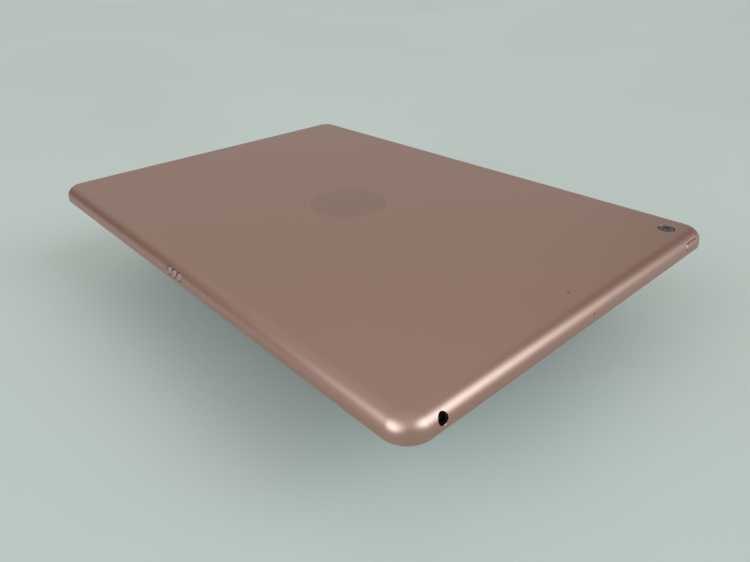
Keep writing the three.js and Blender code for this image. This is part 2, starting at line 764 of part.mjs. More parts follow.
function makeCameras() {
  const half = cameraModule / 2;
  const moduleHigh = insideBack - cameraHeadroom;
  const across = [cameraX - half, cameraX + half];
  const deep = [cameraY - half, cameraY + half];
  const housing = box(across, deep, [ledge + 0.15, moduleHigh]);
  const barrel = rod("z", cameraBarrel, moduleHigh - 1, insideBack - clearance, cameraX, cameraY, 32);
  add("rear_camera_module", blackPlastic, join(housing, barrel));

  const ringOuter = cameraHole - slideGap;
  const ringInner = ringOuter - cameraRingWall;
  const ringLow = insideBack + clearance;
  const floorHigh = ringLow + cameraRingFloor;
  const ring = rod("z", ringOuter, ringLow, bodyThickness, cameraX, cameraY, 32);
  const bay = rod("z", ringInner, floorHigh, bodyThickness + 1, cameraX, cameraY, 32);
  const through = rod("z", cameraBarrel, ringLow - 1, floorHigh + 1, cameraX, cameraY, 32);
  add("rear_camera_ring", polished, cut(ring, bay, through));
  const lensRadius = ringInner - clearance;
  const lensHigh = bodyThickness - cameraLensRecess;
  const lens = rod("z", lensRadius, floorHigh + clearance, lensHigh, cameraX, cameraY, 32);
  add("rear_camera_lens", darkGlass, lens);

  const side = frontCameraSide / 2;
  const low = glassThickness + clearance;
  const bodyLow = low + 0.4;
  const bodyDeep = [frontCameraY - side, frontCameraY + side];
  const front = box([-side, side], bodyDeep, [bodyLow, low + frontCameraHeight]);
  const frontLens = rod("z", frontCameraLens, low, bodyLow + 0.5, 0, frontCameraY, 24);
  add("front_camera", blackPlastic, join(front, frontLens));

  const sensorX = [lightSensorFromCentre - 1.5, lightSensorFromCentre + 1.5];
  const sensorY = [frontCameraY - 1.2, frontCameraY + 1.2];
  add("light_sensor", blackPlastic, box(sensorX, sensorY, [low, low + 1.2]));
}

// ---------------------------------------------------------------- battery, logic board and circuits

function makeBattery() {
  const left = boardRight + batteryClear;
  const right = panelX;
  const width = (right - left - batteryGap) / 2;
  const deep = [-panelY + 1, armLowY - batteryTop];
  const high = insideBack - clearance - adhesive - clearance;
  for (const [name, x0] of [
    ["left", left],
    ["right", left + width + batteryGap],
  ]) {
    const middle = [x0 + width / 2, (deep[0] + deep[1]) / 2];
    const shape = roundedRectangle(width, deep[1] - deep[0], 2.5, ...middle);
    add(`battery_cell_${name}`, batteryFoil, prism("z", shape, behindFlex, high, 4));
    const film = roundedRectangle(width - 20, deep[1] - deep[0] - 30, 2, ...middle);
    const low = high + clearance;
    add(`battery_adhesive_${name}`, adhesiveFilm, prism("z", film, low, low + adhesive, 2));
  }
  const strip = box([left + 2, left + 42], [deep[1] + 1, armLowY - 1.8], [boardLow, boardLow + 1]);
  add("battery_circuit", circuitBoard, strip);
}

// A screening can over part of the board, open towards it, with a step in from the board's corner.
function shield(dx, dy, width, length) {
  const [x, y] = [boardLeft + dx, boardTopY - dy];
  const low = boardHigh + clearance;
  const high = insideBack - 2 * clearance;
  const can = box([x, x + width], [y - length, y], [low, high]);
  const wall = shieldSheet;
  const inside = box([x + wall, x + width - wall], [y - length + wall, y - wall], [low - 1, high - wall]);
  return cut(can, inside);
}

function makeBoards() {
  const low = boardTopY - boardLength;
  const outline = polygon([
    [boardLeft, low],
    [boardRight, low],
    [boardRight, armLowY],
    [armRight, armLowY],
    [armRight, boardTopY],
    [boardLeft, boardTopY],
  ]);
  const bare = prism("z", outline, boardLow, boardHigh);
  const chipHeight = 0.7;
  const chips = [
    [3, 44, 9, 9],
    [14, 46, 5, 6],
    [3, 57, 6, 12],
    [12, 60, 8, 5],
    [4, 132, 10, 8],
    [16, 134, 4, 4],
    [5, 146, 7, 5],
  ].map(([dx, dy, width, length]) => {
    const [x, y] = [boardLeft + dx, boardTopY - dy];
    return box([x, x + width], [y - length, y], [boardHigh - 0.1, boardHigh + chipHeight]);
  });
  const holes = boardScrews.map(([x, y]) => rod("z", boardHole, boardLow - 1, boardHigh + 1, x, y, 12));
  add("logic_board", circuitBoard, cut(join(bare, ...chips), ...holes));
  add("radio_shield", sheetSteel, shield(1.8, 3, 16, 24));
  add("processor_shield", sheetSteel, shield(27.8, 5, 28, 24));
  add("power_shield", sheetSteel, shield(2, 86, 18, 40));
}

// A ribbon that leaves the tray's back under the board, with its connector.
function makeDisplayFlexes() {
  const connectorHigh = boardLow - clearance;
  const low = boardTopY - boardLength + 14;
  const high = boardTopY - 80;
  const right = boardRight - 4.5;
  const ribbon = box([right - 8, right], [low, high], [flexLow, flexLow + flexThickness]);
  const plug = box([right - 7, right - 3], [high - 14, high - 2], [flexLow, connectorHigh]);
  add("display_flex", orangeFlex, join(ribbon, plug));

  // The touch circuit: bonded to the glass, up beside the tray and in behind it
  const outerX = -pocketX + 3 * clearance;
  const wallX = -trayX - 0.3;
  const innerX = boardLeft + 8;
  const glassSide = glassThickness + clearance;
  const step = flexThickness;
  const profile = polygon([
    [outerX, glassSide],
    [wallX, glassSide],
    [wallX, flexLow],
    [innerX, flexLow],
    [innerX, flexLow + step],
    [wallX - step, flexLow + step],
    [wallX - step, glassSide + step],
    [outerX, glassSide + step],
  ]);
  const [nearY, farY] = [boardTopY - 68, boardTopY - 48];
  const touch = prism("y", profile, nearY, farY);
  const touchPlug = box([innerX - 4, innerX - 1], [nearY + 3, farY - 3], [flexLow, connectorHigh]);
  add("touch_flex", orangeFlex, join(touch, touchPlug));
}

// ---------------------------------------------------------------- accessory contacts, antennas and magnets

function makeContacts() {
  const blockLeft = trayX + 0.4;
  const blockRight = pocketX - clearance;
  const half = insulatorLength / 2;
  const tall = [sideFeatureHeight - insulatorHeight / 2, sideFeatureHeight + insulatorHeight / 2];
  const bore = contactRadius + clearance;
  let insulator = box([blockLeft, blockRight], [-half, half], tall);
  for (const y of contactPlaces()) {
    const collar = rod("x", bore + insulatorWall, blockRight - 0.5, halfWidth, y, sideFeatureHeight, 24);
    insulator = join(insulator, within(collar, skin(insulatorRecess)));
  }
  for (const y of contactPlaces()) {
    insulator = cut(insulator, rod("x", bore, blockLeft - 1, halfWidth + 1, y, sideFeatureHeight, 24));
  }
  add("contact_insulator", blackPlastic, insulator);
  contactPlaces().forEach((y, i) => {
    const pin = rod("x", contactRadius, blockLeft + 0.1, halfWidth, y, sideFeatureHeight, 24);
    add(`accessory_contact_${i + 1}`, greyContact, within(pin, skin(contactRecess)));
  });

  // Their flexible circuit drops behind the display tray and crosses under the battery.
  const strip = blockLeft - clearance - flexThickness;
  const profile = polygon([
    [boardRight - 3, flexLow],
    [strip + flexThickness, flexLow],
    [strip + flexThickness, tall[1]],
    [strip, tall[1]],
    [strip, flexLow + flexThickness],
    [boardRight - 3, flexLow + flexThickness],
  ]);
  add("contact_flex", orangeFlex, prism("y", profile, -2, 2));
}

function makeAntennas() {
  const end = tabX - 6;
  const front = pocketY - clearance;
  const low = ledge + 0.15;
  for (const [name, side] of [
    ["right", 1],
    ["left", -1],
  ]) {
    const span = (a, b) => (side > 0 ? [a, b] : [-b, -a]);
    const carrier = box(span(antennaStart, end), [front - antennaDepth, front], [low, low + antennaHeight]);
    const step = box(span(antennaStart - 1, end - 8), [front - antennaDepth - 1, front - 5], [
      low + 1.6,
      low + antennaHeight + 1,
    ]);
    add(`antenna_${name}`, whitePlastic, cut(carrier, step));
  }

  // A coaxial lead from the right antenna to the board's arm
  const top = low + antennaHeight + clearance + coaxRadius;
  const boardTop = boardHigh + clearance + coaxRadius;
  const leadY = front - 3;
  const route = new THREE.CatmullRomCurve3([
    new THREE.Vector3(antennaStart + 6, leadY, top),
    new THREE.Vector3(antennaStart - 4, leadY - 1, top),
    new THREE.Vector3(antennaStart - 16, leadY - 8, top),
    new THREE.Vector3(4, frontCameraY - frontCameraSide / 2 - 2.5, top),
    new THREE.Vector3(armRight + 8, boardTopY + 1.5, top),
    new THREE.Vector3(armRight - 3, boardTopY - 3, boardTop),
  ]);
  const section = new THREE.Shape();
  section.absarc(0, 0, coaxRadius, 0, 2 * Math.PI);
  const options = { steps: 24, curveSegments: 4, bevelEnabled: false, extrudePath: route };
  add("antenna_coax", blackPlastic, new THREE.ExtrudeGeometry(section, options));
}

function makeMagnets() {
  const left = trayX + 0.25;
  const right = pocketX - 2 * clearance;
  const tall = [ledge + 0.6, insideBack - 1.1];
  const far = magnetStart + magnetLength;
  add("cover_magnet_upper", magnetNickel, box([left, right], [magnetStart, far], tall));
  add("cover_magnet_lower", magnetNickel, box([left, right], [-far, -magnetStart], tall));
}

// ---------------------------------------------------------------- assembly

makeRearCase();
makeGlass();
makeDisplay();
makeScrews();
makeHomeButton();
makeSideButtons();
makeSocket();
makeChargingPort();
makeSpeakers();
makeMicrophones();
makeCameras();
makeBattery();
makeBoards();
makeDisplayFlexes();
makeContacts();
makeAntennas();
makeMagnets();

export default tablet;
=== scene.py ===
"""The looks of a slim tablet computer lying on its screen: fine surfaces, materials, light and camera."""
import math

import bmesh
import bpy
from mathutils import Matrix, Vector


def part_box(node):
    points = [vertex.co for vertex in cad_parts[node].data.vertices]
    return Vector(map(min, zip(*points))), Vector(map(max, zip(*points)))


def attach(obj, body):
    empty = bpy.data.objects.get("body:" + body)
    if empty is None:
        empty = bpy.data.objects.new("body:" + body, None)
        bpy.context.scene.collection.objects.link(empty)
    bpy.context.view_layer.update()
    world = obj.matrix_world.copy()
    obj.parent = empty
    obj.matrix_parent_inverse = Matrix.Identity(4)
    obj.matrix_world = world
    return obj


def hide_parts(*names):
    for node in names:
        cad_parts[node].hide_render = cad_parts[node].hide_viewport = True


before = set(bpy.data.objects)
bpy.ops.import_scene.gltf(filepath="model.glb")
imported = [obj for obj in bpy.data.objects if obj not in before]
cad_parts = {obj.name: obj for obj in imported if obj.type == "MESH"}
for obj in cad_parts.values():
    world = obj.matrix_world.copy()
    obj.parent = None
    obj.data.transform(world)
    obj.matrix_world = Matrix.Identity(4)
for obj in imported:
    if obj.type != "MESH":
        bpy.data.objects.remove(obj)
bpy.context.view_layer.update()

MM = 0.001
BODY = "body"

# ---------------------------------------------------------------- sizes, in millimetres

# The case's outline, its rounded edge and its walls
HALF_WIDTH = 87.05
HALF_LENGTH = 125.3
THICKNESS = 7.5
CORNER = 9.0
EDGE_START = 1.7
EDGE_RUN = 6.2
EDGE_POWER = 2.3
CHAMFER = 0.45
RIM_LOW = 0.15
RIM_WIDTH = 0.75
LEDGE = 1.15
SIDE_WALL = 4.2
INSIDE_BACK = 6.7
POCKET_X = HALF_WIDTH - SIDE_WALL
POCKET_Y = HALF_LENGTH - SIDE_WALL

# Glass, seal and home button
GLASS = 0.9
GLASS_INSET = 1.1
GLASS_ROUNDING = 0.3
SEAL_INSET = 0.8
SCREEN_X = 77.95
SCREEN_Y = 103.9
FRONT_CAMERA_WINDOW = 1.3
SENSOR_WINDOW = 0.7
PRINT_DEPTH = 0.012  # how far the dark windows lie below the glass's face
HOME_HOLE = 7.1
HOME_HOLE_CHAMFER = 0.15
HOME_RELIEF = 8.0
HOME_RADIUS = 7.0
HOME_TRIM_INNER = 6.35
HOME_DISH = 0.09

# Side buttons: the bar, the flange behind it, their slot and its seat. Pairs are (length, height)
BUTTON_Z = 3.9
BUTTON_BAR = (10.4, 2.6)
BUTTON_ROUNDING = 0.25
BUTTON_PROUD = 0.2
FLANGE_GROWTH = 0.7
FLANGE_DEPTH = 0.6
BUTTON_SLOT = (10.6, 2.8)
BUTTON_CHAMFER = 0.12
BUTTON_SEAT = (12.2, 4.4)
BUTTON_SEAT_DEPTH = 1.05

# Headphone socket and the springs in it
SOCKET_HOLE = 1.85
SOCKET_NOSE = 2.1
SOCKET_BORE = 1.75
SPRINGS = ((262, 0.25), (142, 3.2), (22, 5.6))  # the angle of each, and how deep it starts
SPRING_LENGTH = 2.2
SPRING_WIDTH = 0.7
SPRING_THICKNESS = 0.08
SPRING_RISE = 0.32

# Charging port. Pairs are (length, height)
PORT_MOUTH = (8.0, 2.4)
PORT_CHAMFER = 0.15
PORT_SEAT = (9.1, 2.7)
PORT_SEAT_DEPTH = 2.5
PORT_NOSE = (9.0, 2.6)
PORT_CAVITY = (7.4, 1.9)
PORT_CONTACTS = 8
PORT_PITCH = 0.78

# Microphones and speakers
MICROPHONE_HOLE = 0.4
SPEAKER_Z = 3.6
SPEAKER_HOLE = 0.45
SPEAKER_PITCH = 1.5
SPEAKER_START = 18.5
SPEAKER_COLUMNS = 14

# Accessory contacts, rear camera and inlay
CONTACT_HOLE = 1.8
CONTACT_COLLAR = 1.75
CONTACT_RADIUS = 1.5
CAMERA_HOLE = 3.3
CAMERA_TRIM_OUTER = 3.2
CAMERA_TRIM_INNER = 2.95
CAMERA_WELL = 1.8
ELEMENT_RADIUS = 1.5
INLAY_RADIUS = 17.0

# How finely round shapes are divided, and how far a cutter runs on past the surface that it opens
CORNER_STEPS = 40
ROUND = 64
PAST = 0.6


def middle(node):
    low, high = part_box(node)
    return (Vector(low) + Vector(high)) / 2 / MM


def lowest(node):
    return Vector(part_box(node)[0]) / MM


def highest(node):
    return Vector(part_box(node)[1]) / MM


SOCKET = middle("headphone_socket")
PORT = middle("charging_port")
CAMERA = middle("rear_camera_lens")
HOME = middle("home_button_ring")
FRONT_CAMERA = middle("front_camera")
LIGHT_SENSOR = middle("light_sensor")
REAR_MIC = middle("rear_microphone")
EDGE_MIC = middle("edge_microphone")
POWER = middle("power_button")
VOLUMES = {name: middle(name) for name in ("volume_up_button", "volume_down_button")}
CONTACTS = [middle(f"accessory_contact_{i}") for i in (1, 2, 3)]


# ---------------------------------------------------------------- materials

NOISE_LOW, NOISE_HIGH = 0.3, 0.7  # the part of a noise value that a colour or a number spreads over


def link(tree, a, b):
    tree.links.new(a, b)


def noise(tree, coordinates, scale, detail=3.0, stretch=None):
    """A noise value between 0 and 1, at a scale in waves per metre."""
    node = tree.nodes.new("ShaderNodeTexNoise")
    node.inputs["Scale"].default_value = scale
    node.inputs["Detail"].default_value = detail
    source = coordinates
    if stretch:
        mapping = tree.nodes.new("ShaderNodeMapping")
        mapping.inputs["Scale"].default_value = stretch
        link(tree, coordinates, mapping.inputs["Vector"])
        source = mapping.outputs["Vector"]
    link(tree, source, node.inputs["Vector"])
    return node.outputs["Fac"]


def spread(tree, value, low, high):
    """A number between low and high that follows a noise value."""
    node = tree.nodes.new("ShaderNodeMapRange")
    node.inputs["From Min"].default_value = NOISE_LOW
    node.inputs["From Max"].default_value = NOISE_HIGH
    node.inputs["To Min"].default_value = low
    node.inputs["To Max"].default_value = high
    link(tree, value, node.inputs["Value"])
    return node.outputs["Result"]


def two_tones(tree, value, dark, light):
    """A colour between a dark and a light tone that follows a noise value."""
    ramp = tree.nodes.new("ShaderNodeValToRGB")
    ramp.color_ramp.elements[0].position = NOISE_LOW
    ramp.color_ramp.elements[1].position = NOISE_HIGH
    ramp.color_ramp.elements[0].color = (*dark, 1)
    ramp.color_ramp.elements[1].color = (*light, 1)
    link(tree, value, ramp.inputs["Fac"])
    return ramp.outputs["Color"]


def material(name, colour, roughness, metallic=0.0, tone=0.04, tone_scale=60.0, vary=0.03,
             grain=0.0, grain_scale=4000.0, stretch=None, **sockets):
    """A principled surface whose colour, roughness and bump come from noise in the object's own space.

    The colour varies by the share tone, the roughness by vary, and grain is the bump's depth in millimetres.
    """
    made = bpy.data.materials.new(name)
    made.use_nodes = True
    tree = made.node_tree
    shader = tree.nodes["Principled BSDF"]
    shader.inputs["Metallic"].default_value = metallic
    for socket, value in sockets.items():
        shader.inputs[socket.replace("_", " ")].default_value = value
    place = tree.nodes.new("ShaderNodeTexCoord").outputs["Object"]
    broad = noise(tree, place, tone_scale, stretch=stretch)
    dark = [c * (1 - tone) for c in colour]
    light = [min(1.0, c * (1 + tone)) for c in colour]
    link(tree, two_tones(tree, broad, dark, light), shader.inputs["Base Color"])
    link(tree, spread(tree, broad, roughness - vary, roughness + vary), shader.inputs["Roughness"])
    if grain:
        bump = tree.nodes.new("ShaderNodeBump")
        bump.inputs["Distance"].default_value = grain * MM
        link(tree, noise(tree, place, grain_scale, 2.0, stretch), bump.inputs["Height"])
        link(tree, bump.outputs["Normal"], shader.inputs["Normal"])
    return made


anodised = material("anodised_gold", (0.685, 0.428, 0.33), 0.36, 1.0, tone=0.004, vary=0.004,
                    grain=0.0012, grain_scale=7000, Coat_Weight=0.25, Coat_Roughness=0.35, Coat_IOR=1.6)
polished = material("polished_gold", (0.80, 0.55, 0.46), 0.14, 1.0, tone=0.01, vary=0.03, tone_scale=300)
inlay_gold = material("inlay_gold", (0.66, 0.43, 0.335), 0.2, 1.0, tone=0.015, vary=0.02, tone_scale=90,
                      grain=0.0004, grain_scale=3000)
white_print = material("white_print", (0.86, 0.85, 0.83), 0.08, tone=0.01, vary=0.015, tone_scale=25,
                       Coat_Weight=1.0, Coat_Roughness=0.03)
screen_black = material("screen_black", (0.006, 0.0065, 0.008), 0.06, tone=0.2, vary=0.01, tone_scale=20,
                        Coat_Weight=1.0, Coat_Roughness=0.03)
coated_glass = material("coated_glass", (0.014, 0.016, 0.03), 0.08, tone=0.3, vary=0.01, tone_scale=400,
                        Coat_Weight=1.0, Coat_Roughness=0.02, Specular_IOR_Level=0.8)
blue_lens = material("blue_lens", (0.085, 0.11, 0.19), 0.2, 0.5, tone=0.3, vary=0.02, tone_scale=900)
ring_dark = material("ring_dark", (0.05, 0.045, 0.045), 0.25, 0.8, tone=0.05, vary=0.02, tone_scale=400)
seal_grey = material("seal_grey", (0.42, 0.40, 0.39), 0.55, tone=0.06, vary=0.05, tone_scale=300,
                     grain=0.002, grain_scale=5000)
sapphire_white = material("sapphire_white", (0.84, 0.83, 0.81), 0.12, tone=0.01, vary=0.02, tone_scale=80,
                          Coat_Weight=1.0, Coat_Roughness=0.04)
black_plastic = material("black_plastic", (0.012, 0.012, 0.013), 0.45, tone=0.15, vary=0.06, tone_scale=400,
                         grain=0.004, grain_scale=6000)
white_plastic = material("white_plastic", (0.80, 0.79, 0.77), 0.4, tone=0.03, vary=0.05, tone_scale=150,
                         grain=0.004, grain_scale=4000)
contact_plate = material("contact_plate", (0.66, 0.52, 0.46), 0.45, 1.0, tone=0.03, vary=0.04, tone_scale=900,
                         grain=0.001, grain_scale=9000)
gold_plate = material("gold_plate", (0.83, 0.60, 0.24), 0.22, 1.0, tone=0.03, vary=0.04, tone_scale=900)
sheet_steel = material("sheet_steel", (0.55, 0.56, 0.57), 0.34, 1.0, tone=0.06, vary=0.06, tone_scale=120,
                       grain=0.002, grain_scale=900, stretch=(1, 12, 1))
screw_steel = material("screw_steel", (0.50, 0.50, 0.51), 0.28, 1.0, tone=0.08, vary=0.06, tone_scale=900)
display_film = material("display_film", (0.015, 0.016, 0.02), 0.25, tone=0.2, vary=0.04, tone_scale=40)
flex_film = material("flex_film", (0.26, 0.09, 0.02), 0.4, tone=0.18, vary=0.05, tone_scale=900,
                     stretch=(1, 0.1, 1), Coat_Weight=0.5)
board_green = material("board_green", (0.012, 0.06, 0.03), 0.4, tone=0.35, vary=0.08, tone_scale=700,
                       grain=0.01, grain_scale=1500)
battery_wrap = material("battery_wrap", (0.02, 0.021, 0.024), 0.4, tone=0.2, vary=0.08, tone_scale=30,
                        grain=0.02, grain_scale=150)
adhesive = material("adhesive_strip", (0.62, 0.60, 0.55), 0.6, tone=0.05, vary=0.08, tone_scale=80,
                    grain=0.01, grain_scale=900)
fine_mesh = material("fine_mesh", (0.03, 0.03, 0.032), 0.5, 0.8, tone=0.6, vary=0.1, tone_scale=5000,
                     grain=0.03, grain_scale=5000)
magnet_nickel = material("magnet_nickel", (0.50, 0.50, 0.51), 0.25, 1.0, tone=0.04, vary=0.05, tone_scale=300)


# ---------------------------------------------------------------- mesh helpers

def make(name, vertices, faces, *materials):
    """An object in metres from vertices in millimetres."""
    mesh = bpy.data.meshes.new(name)
    mesh.from_pydata([[c * MM for c in v] for v in vertices], [], faces)
    for one in materials:
        mesh.materials.append(one)
    mesh.validate()
    thing = bpy.data.objects.new(name, mesh)
    bpy.context.scene.collection.objects.link(thing)
    return thing


def outline(inset):
    """Points round the tablet's outline, counter-clockwise, brought in by inset."""
    points = []
    reach = CORNER - inset
    for quarter in range(4):
        cx = (1 if quarter in (0, 3) else -1) * (HALF_WIDTH - CORNER)
        cy = (1 if quarter < 2 else -1) * (HALF_LENGTH - CORNER)
        for step in range(CORNER_STEPS + 1):
            angle = math.pi / 2 * (quarter + step / CORNER_STEPS)
            points.append((cx + reach * math.cos(angle), cy + reach * math.sin(angle)))
    return points


def rings_to_faces(count, rings, closed=False):
    """Faces between rings of count points each, and from the last ring to the first where closed."""
    faces = []
    for ring in range(rings if closed else rings - 1):
        low, high = ring * count, (ring + 1) % rings * count
        for i in range(count):
            j = (i + 1) % count
            faces.append((low + i, low + j, high + j, high + i))
    return faces


def capped(count, rings):
    """Faces between rings of count points each, with a face across each end."""
    faces = rings_to_faces(count, rings)
    faces.append(tuple(reversed(range(count))))
    faces.append(tuple(range(count * (rings - 1), count * rings)))
    return faces


def loft(name, profile, *materials):
    """A solid whose outline, brought in ring by ring, follows (inset, z) pairs from the bottom up."""
    vertices = [(x, y, z) for inset, z in profile for x, y in outline(inset)]
    count = len(vertices) // len(profile)
    return make(name, vertices, capped(count, len(profile)), *materials)


# A point from its place (u, v) across an axis and its place along it. Across x and y, v is the height
AXES = {
    "x": lambda u, v, along: (along, u, v),
    "y": lambda u, v, along: (u, along, v),
    "z": lambda u, v, along: (u, v, along),
}


def circles(axis, centre, profile, steps):
    """Points round one circle for each (radius, place along the axis) pair.

    A place can be a function of the height, for an end that follows a curved surface.
    """
    points = []
    for radius, along in profile:
        for i in range(steps):
            angle = 2 * math.pi * i / steps
            u = centre[0] + radius * math.cos(angle)
            v = centre[1] + radius * math.sin(angle)
            points.append(AXES[axis](u, v, along(v) if callable(along) else along))
    return points


def spin(name, axis, centre, profile, *materials, steps=ROUND):
    """A solid of revolution, whose profile goes from one end to the other."""
    vertices = circles(axis, centre, profile, steps)
    return outward(make(name, vertices, capped(steps, len(profile)), *materials))


def ring(name, axis, centre, profile, *materials, steps=ROUND):
    """A closed ring, whose profile goes once round the ring's section."""
    faces = rings_to_faces(steps, len(profile), closed=True)
    return outward(make(name, circles(axis, centre, profile, steps), faces, *materials))


def capsule(axis, centre, size, places, *materials, name="capsule", steps=20):
    """A solid with a long rounded section of a size (length, height).

    Its places are (growth, place along the axis) pairs. A place can be a function, as in circles.
    """
    length, height = size
    reach = length / 2 - height / 2
    vertices = []
    for growth, along in places:
        radius = height / 2 + growth
        for side in (1, -1):
            for i in range(steps + 1):
                angle = -math.pi / 2 + math.pi * i / steps + (0 if side > 0 else math.pi)
                u = centre[0] + side * reach + radius * math.cos(angle)
                v = centre[1] + radius * math.sin(angle)
                vertices.append(AXES[axis](u, v, along(v) if callable(along) else along))
    count = 2 * (steps + 1)
    faces = rings_to_faces(count, len(places))
    for first in (0, count * (len(places) - 1)):
        for i in range(steps):
            faces.append((first + i, first + i + 1, first + count - 2 - i, first + count - 1 - i))
    return outward(make(name, vertices, faces, *materials))


def block(name, low, high, *materials, bevel=0.0):
    """A box between two corners, with its edges rounded by a bevel."""
    bm = bmesh.new()
    bmesh.ops.create_cube(bm, size=1.0)
    low, high = Vector(low), Vector(high)
    for vertex in bm.verts:
        vertex.co = [((c + 0.5) * (b - a) + a) * MM for c, a, b in zip(vertex.co, low, high)]
    if bevel:
        bmesh.ops.bevel(bm, geom=bm.edges[:], offset=bevel * MM, segments=2, profile=0.5, affect="EDGES")
    thing = make(name, [], [], *materials)
    bm.to_mesh(thing.data)
    bm.free()
    return thing


def outward(thing):
    """Turns an object's faces so that they all point out of it."""
    bm = bmesh.new()
    bm.from_mesh(thing.data)
    bmesh.ops.recalc_face_normals(bm, faces=bm.faces)
    bm.to_mesh(thing.data)
    bm.free()
    return thing


def together(name, things):
    """Joins separate, disjoint solids into one object."""
    bm = bmesh.new()
    for thing in things:
        bm.from_mesh(thing.data)
        discard(thing)
    made = make(name, [], [])
    bm.to_mesh(made.data)
    bm.free()
    return made


def discard(thing):
    mesh = thing.data
    bpy.data.objects.remove(thing)
    bpy.data.meshes.remove(mesh)


def combine(base, tools, operation="DIFFERENCE"):
    """Cuts each tool from the base, or joins it on, and removes the tools."""
    for tool in tools:
        modifier = base.modifiers.new("combine", "BOOLEAN")
        modifier.operation = operation
        modifier.solver = "MANIFOLD"
        modifier.object = tool
    bpy.context.view_layer.update()
    shaped = bpy.data.meshes.new_from_object(base.evaluated_get(bpy.context.evaluated_depsgraph_get()))
    base.modifiers.clear()
    old = base.data
    base.data = shaped
    bpy.data.meshes.remove(old)
    for tool in tools:
        discard(tool)


def smooth(thing, degrees=35.0):
    """Shades an object smoothly, apart from edges that turn by more than some degrees."""
    thing.data.polygons.foreach_set("use_smooth", [True] * len(thing.data.polygons))
    thing.data.set_sharp_from_angle(angle=math.radians(degrees))
    return thing


def finish_piece(thing, body, slot, *nodes):
    """Says which body a piece rides on and which CAD nodes it replaces. The finish named by slot is not used.
    """
    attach(thing, body)
    if nodes:
        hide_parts(*nodes)


# ---------------------------------------------------------------- rear case

def edge_profile(steps):
    """(inset, z) up the rounded edge, from the top of the chamfer to the flat rear face."""
    points = []
    for i in range(steps + 1):
        angle = math.pi / 2 * i / steps
        across = math.cos(angle) ** (2 / EDGE_POWER)
        up = math.sin(angle) ** (2 / EDGE_POWER)
        points.append((EDGE_RUN * (1 - across), EDGE_START + (THICKNESS - EDGE_START) * up))
    return points


def edge_inset(z):
    """How far the outer surface has come in at a height."""
    up = min(1.0, max(0.0, (z - EDGE_START) / (THICKNESS - EDGE_START)))
    return EDGE_RUN * (1 - (1 - up ** EDGE_POWER) ** (1 / EDGE_POWER))


def surface_normal(x, y, z):
    """The exact normal of the rounded outer surface above the chamfer, at a point in millimetres."""
    dx = x - max(-(HALF_WIDTH - CORNER), min(HALF_WIDTH - CORNER, x))
    dy = y - max(-(HALF_LENGTH - CORNER), min(HALF_LENGTH - CORNER, y))
    reach = math.hypot(dx, dy)
    if reach < 1e-6 or z > THICKNESS - 1e-4:
        return Vector((0, 0, 1))
    up = min(1.0, max(0.0, (z - EDGE_START) / (THICKNESS - EDGE_START)))
    across = max(0.0, 1 - up ** EDGE_POWER) ** (1 / EDGE_POWER)
    side = across ** (EDGE_POWER - 1) / EDGE_RUN
    rise = up ** (EDGE_POWER - 1) / (THICKNESS - EDGE_START)
    return Vector((side * dx / reach, side * dy / reach, rise)).normalized()


def skin(half, depth=0.0, way=1):
    """The place of the outer surface on a side, brought in by a depth, as a function of the height."""
    return lambda z: way * (half - edge_inset(z) - depth)


def flared(axis, centre, radius, inner, surface, flare, way=1, steps=32):
    """A round cutter from inside to past the surface, widening as a small chamfer where it meets it."""
    vertices = []
    for growth, out in ((0, None), (0, -flare), (flare + PAST, PAST)):
        for i in range(steps):
            angle = 2 * math.pi * i / steps
            place = surface(centre[1] + radius * math.sin(angle)) if callable(surface) else surface
            along = inner if out is None else place + way * out
            u = centre[0] + (radius + growth) * math.cos(angle)
            v = centre[1] + (radius + growth) * math.sin(angle)
            vertices.append(AXES[axis](u, v, along))
    return outward(make("flared", vertices, capped(steps, 3)))


def slotted(axis, centre, size, chamfer, seat_size, seat_depth, half, way):
    """The cutters of a long slot with a chamfered mouth, and of the wider seat behind it.

    The side is half from the middle, and way is the direction that it faces along the axis.
    """
    pocket = half - SIDE_WALL
    mouth = [(0, way * (pocket - 1)), (0, skin(half, chamfer, way)), (chamfer + PAST, skin(half, -PAST, way))]
    seat = [(0, way * (pocket - 1.2)), (0, way * (pocket + seat_depth))]
    return [capsule(axis, centre, size, mouth), capsule(axis, centre, seat_size, seat)]


